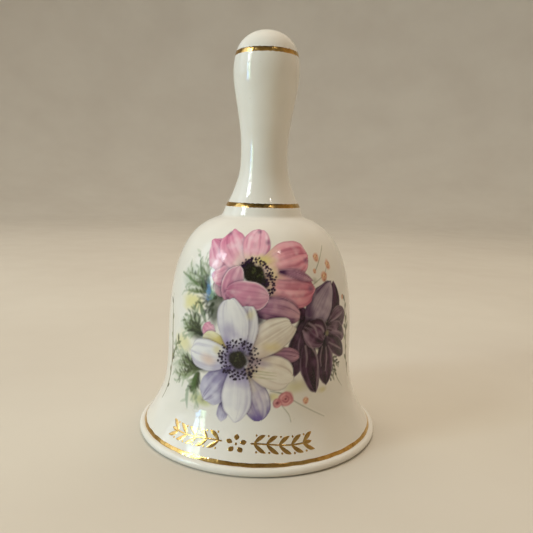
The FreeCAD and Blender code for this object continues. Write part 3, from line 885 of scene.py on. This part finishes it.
def draw_side_twigs(brush, seed):
    """Stems and leaves that run up the flanks, beyond the flowers."""
    twigs = [
        [(-36.4, 11.0, 0.4), (-34.2, 19.0, 0.8), (-33.2, 28.0, 0.9), (-33.8, 38.0, 0.7),
         (-35.6, 46.0, 0.3)],
        [(-33.4, 24.0, 0.5), (-31.0, 29.0, 0.5), (-28.4, 33.0, 0.3)],
        [(36.2, 20.0, 0.4), (34.2, 27.0, 0.7), (33.6, 34.0, 0.6), (34.6, 41.0, 0.3)],
        [(33.8, 34.0, 0.5), (33.0, 39.0, 0.5), (33.4, 47.0, 0.3)],
    ]
    for number, points in enumerate(twigs):
        draw_twig(brush, points, 3.2 - 0.8 * (number % 2), seed + 20 * number)
    for tip in ((26.6, 23.4), (24.0, 22.4), (28.6, 26.0)):
        draw_frond(brush, (23.6, 30.4), tip, 1.6, DARK_FERN, seed + 9)


def draw_bud(brush, centre, radius, seed):
    """A small orange bud with darker touches and a pale glow."""
    brush.spot(centre, (radius, radius * 1.2), "DCA486", 0.9, soft=0.5, seed=seed)
    for turn in (0.6, 2.7, 4.6):
        touch = around(centre, (0.5 * radius, 0.55 * radius), turn)
        brush.spot(touch, (radius * 0.42, radius * 0.3), "BE6E50", 0.7, soft=0.8)
    glow = (centre[0] - 0.1 * radius, centre[1] + 0.15 * radius)
    brush.spot(glow, (radius * 0.5, radius * 0.42), "F4D8A8", 0.85, soft=0.8)
    brush.spot(centre, (radius * 0.22, radius * 0.25), "9A5038", 0.7, soft=0.8)


def draw_rose(brush, centre, radius, seed):
    """A little rose, its petals drawn as three open rings."""
    brush.spot(centre, (radius, radius), "D08488", 0.95, soft=0.3, seed=seed)
    for turn, colour in enumerate(("B0606C", "E8B4B0", "9C4658")):
        reach = radius * (0.8 - 0.22 * turn)
        angles = np.radians(np.arange(0, 300, 60) + 100 * turn)
        ring = [(*around(centre, (reach, reach), a), 0.35) for a in angles]
        brush.line(ring, colour, 0.75, soft=0.25)
    brush.spot(centre, (0.45, 0.45), "6E2434", 0.9, soft=0.6)


def draw_buds(brush, seed):
    """Small buds on fine stems beside the flowers, and two little roses under them."""
    stems = [
        [(26.0, 64.0, 0.2), (23.0, 61.0, 0.3), (19.0, 56.5, 0.3)],
        [(25.0, 58.0, 0.2), (22.5, 55.0, 0.3), (17.5, 52.5, 0.3)],
        [(3.5, 21.6, 0.3), (7.5, 20.4, 0.5), (12.0, 17.2, 0.3), (20.0, 12.0, 0.2)],
        [(7.0, 17.0, 0.2), (8.8, 14.4, 0.25), (9.3, 12.2, 0.15)],
        [(25.2, 29.0, 0.5), (26.4, 25.0, 0.6), (27.6, 22.0, 0.4), (30.5, 18.5, 0.2)],
        [(24.4, 24.0, 0.4), (25.4, 22.8, 0.9), (26.0, 21.6, 0.3)],
    ]
    buds = [((20.3, 60.4), 1.6), ((22.4, 54.3), 1.8), ((25.3, 57.8), 1.7), ((18.5, 56.3), 0.9),
            ((14.3, 17.8), 1.2), ((31.5, 47.0), 0.9)]
    roses = [((8.0, 19.0), 2.5), ((5.6, 18.0), 1.5)]
    brush.spots([
        ((11.5, 22.5), (7.0, 3.4), "CFC88A", 0.6, 1.0),
        ((20.5, 20.0), (2.6, 1.4), "D6CC80", 0.6, 0.9),
        ((4.4, 19.8), (2.6, 2.0), "E6DC9A", 0.8, 0.9),
        ((18.0, 53.5), (1.6, 1.6), "AEB48A", 0.5, 1.0),
    ], seed)
    for rows in stems:
        brush.line(rows, "6A7048", 0.7, soft=0.2)
    for number, (centre, radius) in enumerate(buds):
        draw_bud(brush, centre, radius, seed + number)
    for centre, radius in roses:
        draw_rose(brush, centre, radius, seed)


def paint_front():
    """The bouquet that faces the viewer."""
    sheet = Sheet(*FRONT_SHEET)
    draw_foliage(Brush(sheet), 200)
    draw_side_twigs(Brush(sheet), 260)
    draw_buds(Brush(sheet), 300)
    draw_night_anemone(Brush(sheet, *NIGHT_PLACE), 400)
    draw_pink_anemone(Brush(sheet, *PINK_PLACE), 500)
    draw_white_anemone(Brush(sheet, *WHITE_PLACE), 600)
    return sheet


def paint_back():
    """A smaller spray for the far side: one pink flower, a dark one beside it, and ferns."""
    sheet = Sheet(*BACK_SHEET)
    tips = ((-22, 4), (-20, 12), (-18, -8), (21, 2), (19, -9), (8, 19), (-6, -18))
    for number, tip in enumerate(tips):
        root = (tip[0] * 0.25, tip[1] * 0.25)
        draw_frond(Brush(sheet, *BACK_PLACE), root, tip, 2.6, FERN, 700 + 10 * number)
    draw_night_anemone(Brush(sheet, BACK_PLACE[0] + 8, BACK_PLACE[1] - 5, 0.42), 820)
    draw_pink_anemone(Brush(sheet, *BACK_PLACE, 0.62, flip=True), 840)
    return sheet


# ---- Painted films ----
def spread(mask, cells):
    """A mask grown by some cells up, down, left and right."""
    mask = mask.copy()
    for _ in range(cells):
        mask[1:] |= mask[:-1].copy()
        mask[:-1] |= mask[1:].copy()
        mask[:, 1:] |= mask[:, :-1].copy()
        mask[:, :-1] |= mask[:, 1:].copy()
    return mask


def film_walls(quads, count):
    """Side faces that join the top of the film to its underside round every open edge."""
    sides = np.concatenate([quads[:, [i, (i + 1) % 4]] for i in range(4)])
    forward = {tuple(edge) for edge in sides.tolist()}
    return [(b, a, a + count, b + count) for a, b in forward if (b, a) not in forward]


def transfer(name, sheet, turn):
    """The painted film: every covered cell of the sheet, as a thin closed piece on the bell."""
    near, far = slice(None, -1), slice(1, None)
    corners = [(near, near), (near, far), (far, near), (far, far)]
    painted = spread(sheet.cover > BARE, 2)
    cells = np.logical_and.reduce([painted[corner] for corner in corners])
    touching = np.zeros(painted.shape)
    for corner in corners:
        touching[corner] += cells
    used = touching > 0
    proud = np.where(touching == 4, FILM_PROUD, -FILM_EDGE_DIP)
    count = int(used.sum())
    number = np.full(used.shape, -1)
    number[used] = np.arange(count)
    top = on_bell(sheet.x[used], sheet.y[used], proud[used])
    bottom = on_bell(sheet.x[used], sheet.y[used], -FILM_BEDDED)
    rows, columns = np.nonzero(cells)
    quads = np.stack([number[rows, columns], number[rows, columns + 1],
                      number[rows + 1, columns + 1], number[rows + 1, columns]], -1)
    faces = quads.tolist() + (quads[:, ::-1] + count).tolist() + film_walls(quads, count)
    spin = np.array(Matrix.Rotation(turn, 3, "Z"))
    piece = new_piece(name, np.concatenate([top, bottom]) @ spin.T, faces, sharp_degrees=60)
    colours = np.concatenate([sheet.colour[used], sheet.cover[used][:, None]], axis=1)
    colours = np.concatenate([colours, colours]).astype(np.float32)
    layer = piece.data.color_attributes.new("paint", "FLOAT_COLOR", "POINT")
    layer.data.foreach_set("color", colours.ravel())
    return piece


# ---- Materials ----
class Nodes:
    """A material under construction."""

    def __init__(self, name):
        self.material = bpy.data.materials.new(name)
        self.material.use_nodes = True
        self.tree = self.material.node_tree
        self.shader = self.tree.nodes["Principled BSDF"]
        self.place = self.add("ShaderNodeTexCoord").outputs["Object"]

    def set(self, node, **inputs):
        """Give a node's inputs, underscores for spaces, their values or links."""
        for key, value in inputs.items():
            self.feed(node.inputs[key.replace("_", " ")], value)

    def feed(self, socket, value):
        """Link a node's output to an input, or set the input to a plain value."""
        if isinstance(value, bpy.types.NodeSocket):
            self.tree.links.new(value, socket)
        else:
            socket.default_value = value

    def add(self, kind, **inputs):
        """A new node with these inputs."""
        node = self.tree.nodes.new(kind)
        self.set(node, **inputs)
        return node

    def noise(self, size_mm, detail=3.0, roughness=0.5):
        """Noise with features of about this size."""
        node = self.add("ShaderNodeTexNoise", Vector=self.place, Scale=1 / (size_mm * MM),
                        Detail=detail, Roughness=roughness)
        return node.outputs["Fac"]

    def between(self, value, low, high, out_low, out_high):
        """A value's range from low to high stretched over another range."""
        node = self.add("ShaderNodeMapRange", Value=value, From_Min=low, From_Max=high,
                        To_Min=out_low, To_Max=out_high)
        return node.outputs["Result"]

    def blend(self, share, first, second):
        """Two colours mixed, all of the second where the share is 1."""
        node = self.add("ShaderNodeMix")
        node.data_type = "RGBA"
        for number, value in ((0, share), (6, first), (7, second)):
            self.feed(node.inputs[number], value)
        return node.outputs[2]

    def bump(self, height, distance_mm, strength=1.0, under=None):
        """A surface raised by a height, over another bump if there is one."""
        node = self.add("ShaderNodeBump", Height=height, Distance=distance_mm * MM, Strength=strength)
        if under is not None:
            self.set(node, Normal=under)
        return node.outputs["Normal"]


def glaze(name, paint=None):
    """Glazed porcelain; with paint, the colour attribute of a transfer shows under the glaze."""
    n = Nodes(name)
    base = n.blend(n.between(n.noise(18, 2), 0.35, 0.65, 0, 1), rgba(PORCELAIN), rgba(PORCELAIN_SHADE))
    base = n.blend(n.between(n.noise(1.1, 2), 0.72, 0.80, 0, 0.25), base, rgba("CFC6B2"))
    if paint:
        layer = n.add("ShaderNodeVertexColor")
        layer.layer_name = paint
        ink = layer.outputs["Color"]
        ink = n.blend(n.between(n.noise(0.35, 2), 0.5, 0.8, 0, 0.03), ink, rgba("F2EEE6"))
        ink = n.blend(n.between(n.noise(2.2, 3), 0.5, 0.8, 0, 0.06), ink, rgba("5E4A58"))
        base = n.blend(layer.outputs["Alpha"], base, ink)
    ripple = n.bump(n.noise(9, 1), 0.05, 0.5)
    n.set(n.shader, Base_Color=base, IOR=1.52, Specular_IOR_Level=0.34 if paint else 0.5,
          Roughness=n.between(n.noise(6, 3), 0.3, 0.7, 0.05, 0.12),
          Coat_Weight=0.0 if paint else 0.05, Coat_Roughness=0.03,
          Normal=n.bump(n.noise(1.1, 2), 0.035 if paint else 0.006, 1.0, ripple))
    return n.material


def gold(name):
    """Fired gold, rubbed thin in places, on a hard glossy glaze."""
    n = Nodes(name)
    base = n.blend(n.between(n.noise(2.4, 4, 0.6), 0.35, 0.7, 0, 1), rgba("E8C27A"), rgba("C49A52"))
    base = n.blend(n.between(n.noise(0.5, 2), 0.62, 0.72, 0, 0.5), base, rgba("8F6C34"))
    pools = n.bump(n.noise(2.6, 2), 0.16, 0.8)
    n.set(n.shader, Base_Color=base, Metallic=1.0,
          Roughness=n.between(n.noise(1.2, 3), 0.3, 0.7, 0.10, 0.30),
          Normal=n.bump(n.noise(0.7, 3), 0.02, 0.6, pools))
    return n.material


def brass_wire(name):
    """Drawn brass, dulled by handling."""
    n = Nodes(name)
    tarnish = n.between(n.noise(3, 4, 0.6), 0.4, 0.7, 0, 1)
    n.set(n.shader, Base_Color=n.blend(tarnish, rgba("C9A25A"), rgba("7E5F30")), Metallic=1.0,
          Roughness=n.between(n.noise(0.8, 3), 0.3, 0.7, 0.24, 0.45),
          Normal=n.bump(n.noise(0.25, 3), 0.01, 0.5))
    return n.material


def cement(name):
    """Pale gritty cement."""
    n = Nodes(name)
    patches = n.between(n.noise(1.5, 4), 0.35, 0.65, 0, 1)
    n.set(n.shader, Base_Color=n.blend(patches, rgba("D6D0C2"), rgba("B5AC9A")),
          Roughness=n.between(n.noise(0.6, 2), 0.3, 0.7, 0.7, 0.95),
          Normal=n.bump(n.noise(0.35, 5), 0.12, 0.8))
    return n.material


def pale_floor(name):
    """A plain pale floor, a little uneven in tone."""
    n = Nodes(name)
    tone = n.between(n.noise(120, 3), 0.3, 0.7, 0, 1)
    n.set(n.shader, Base_Color=n.blend(tone, rgba("D2CCC0"), rgba("CCC5B9")),
          Roughness=n.between(n.noise(30, 2), 0.3, 0.7, 0.5, 0.62))
    return n.material


# ---- Putting it together ----
def wear(piece, material):
    """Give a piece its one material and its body."""
    piece.data.materials.clear()
    piece.data.materials.append(material)
    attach(piece, "bell")
    return piece


def build_castings(porcelain):
    """The glazed bell and handle."""
    bell = wear(turned("bell_glazed", bell_profile(), closed=True), porcelain)
    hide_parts("bell_body")
    handle = wear(turned("handle_glazed", handle_profile(), closed=False), porcelain)
    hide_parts("handle")


def build_gilding(gilding):
    """The three gold bands and the garland."""
    top = [handle_curve.at_height(height) for height in TOP_BAND_HEIGHTS]
    collar = (COLLAR_BAND_INSET, bevel_curve.length - COLLAR_BAND_INSET)
    bands = [
        ("gilt_line_foot", bell_curve, FOOT_BAND, 11, "gilt_band_foot"),
        ("gilt_line_collar", bevel_curve, collar, 21, "gilt_band_collar"),
        ("gilt_line_top", handle_curve, top, 31, "gilt_band_top"),
    ]
    for name, curve, reach, seed, node in bands:
        band = wear(gilt_ring(name, curve, *reach, seed), gilding)
        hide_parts(node)
    wear(gilt_garland("gilt_garland"), gilding)


def build_transfers():
    """The painted films on the front and the back."""
    painted = glaze("flower_transfer", paint="paint")
    wear(transfer("flower_transfer_front", paint_front(), 0.0), painted)
    wear(transfer("flower_transfer_back", paint_back(), math.pi), painted)


def finish_cad_nodes(porcelain):
    """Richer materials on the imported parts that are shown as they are."""
    wire, filler = brass_wire("brass_wire"), cement("cement")
    looks = {
        "throat_plug": filler, "clapper_staple": wire, "chain_link_1": wire,
        "chain_link_2": wire, "clapper_wire": wire, "clapper_ball": porcelain,
    }
    for name, material in looks.items():
        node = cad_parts[name]
        node.data.materials.clear()
        node.data.materials.append(material)


def build_stage():
    """A round pale floor that sweeps up into a low wall far behind."""
    edge = FLOOR_FLAT[-1]
    profile = [(0.0, 0.0)] + [(radius, 0.0) for radius in FLOOR_FLAT]
    profile += [(edge + FLOOR_SWEEP * math.sin(a), FLOOR_SWEEP - FLOOR_SWEEP * math.cos(a))
                for a in np.linspace(0.08, math.pi / 2, 16)]
    profile += [(edge + FLOOR_SWEEP, FLOOR_TOP)]
    floor = turned("floor", profile[::-1], closed=False, turns=96)
    floor.data.materials.append(pale_floor("pale_floor"))


def soft_light(name, place, target, size, watts, colour, mirrored=True):
    """A rectangular lamp that faces a target and may be left out of reflections."""
    light = bpy.data.lights.new(name, "AREA")
    light.shape = "RECTANGLE"
    light.size, light.size_y = size
    light.energy = watts
    light.color = colour
    lamp = bpy.data.objects.new(name, light)
    lamp.location = place
    lamp.rotation_euler = (Vector(target) - Vector(place)).to_track_quat("-Z", "Y").to_euler()
    lamp.visible_glossy = mirrored
    bpy.context.collection.objects.link(lamp)


def build_window():
    """A tall window to the left: four rows of two panes, bluer towards the sill."""
    place, target = Vector(WINDOW_PLACE), Vector(MIDDLE)
    facing = (target - place).to_track_quat("-Z", "Y").to_matrix()
    for row, panes in enumerate(PANE_ROWS):
        for column, (watts, tint) in enumerate(panes):
            across = (column - 0.5) * (PANE[0] + PANE_GAP)
            up = (row - 2) * (PANE[1] + PANE_GAP)
            offset = facing @ Vector((across, up, 0))
            soft_light(f"pane_{row}_{column}", place + offset, target + offset, PANE, watts, tint)


def build_lights():
    """The window, the other lamps and a faint even light from all round."""
    build_window()
    for lamp in LAMPS:
        soft_light(*lamp)
    world = bpy.data.worlds.new("studio")
    world.use_nodes = True
    background = world.node_tree.nodes["Background"]
    background.inputs["Color"].default_value = WORLD_COLOUR
    background.inputs["Strength"].default_value = WORLD_STRENGTH
    bpy.context.scene.world = world
    bpy.context.scene.view_settings.view_transform = "Standard"


def build_camera():
    """Close to the bell and a little above its middle, looking slightly down."""
    camera = bpy.data.cameras.new("camera")
    camera.sensor_width = 36.0
    camera.lens = CAMERA_LENS
    camera.clip_start = 0.01
    lens = bpy.data.objects.new("camera", camera)
    pitch, yaw, roll = (math.radians(angle) for angle in (PITCH, YAW, ROLL))
    forward = Vector((math.sin(yaw) * math.cos(pitch), math.cos(yaw) * math.cos(pitch), math.sin(pitch)))
    right = Vector((math.cos(yaw), -math.sin(yaw), 0))
    up = right.cross(forward)
    right, up = (right * math.cos(roll) + up * math.sin(roll),
                 up * math.cos(roll) - right * math.sin(roll))
    turn = Matrix((right, up, -forward)).transposed().to_4x4()
    lens.matrix_world = Matrix.Translation(CAMERA_PLACE) @ turn
    bpy.context.collection.objects.link(lens)
    bpy.context.scene.camera = lens


porcelain = glaze("porcelain")
build_castings(porcelain)
build_gilding(gold("gilding"))
build_transfers()
finish_cad_nodes(porcelain)
build_stage()
build_lights()
build_camera()
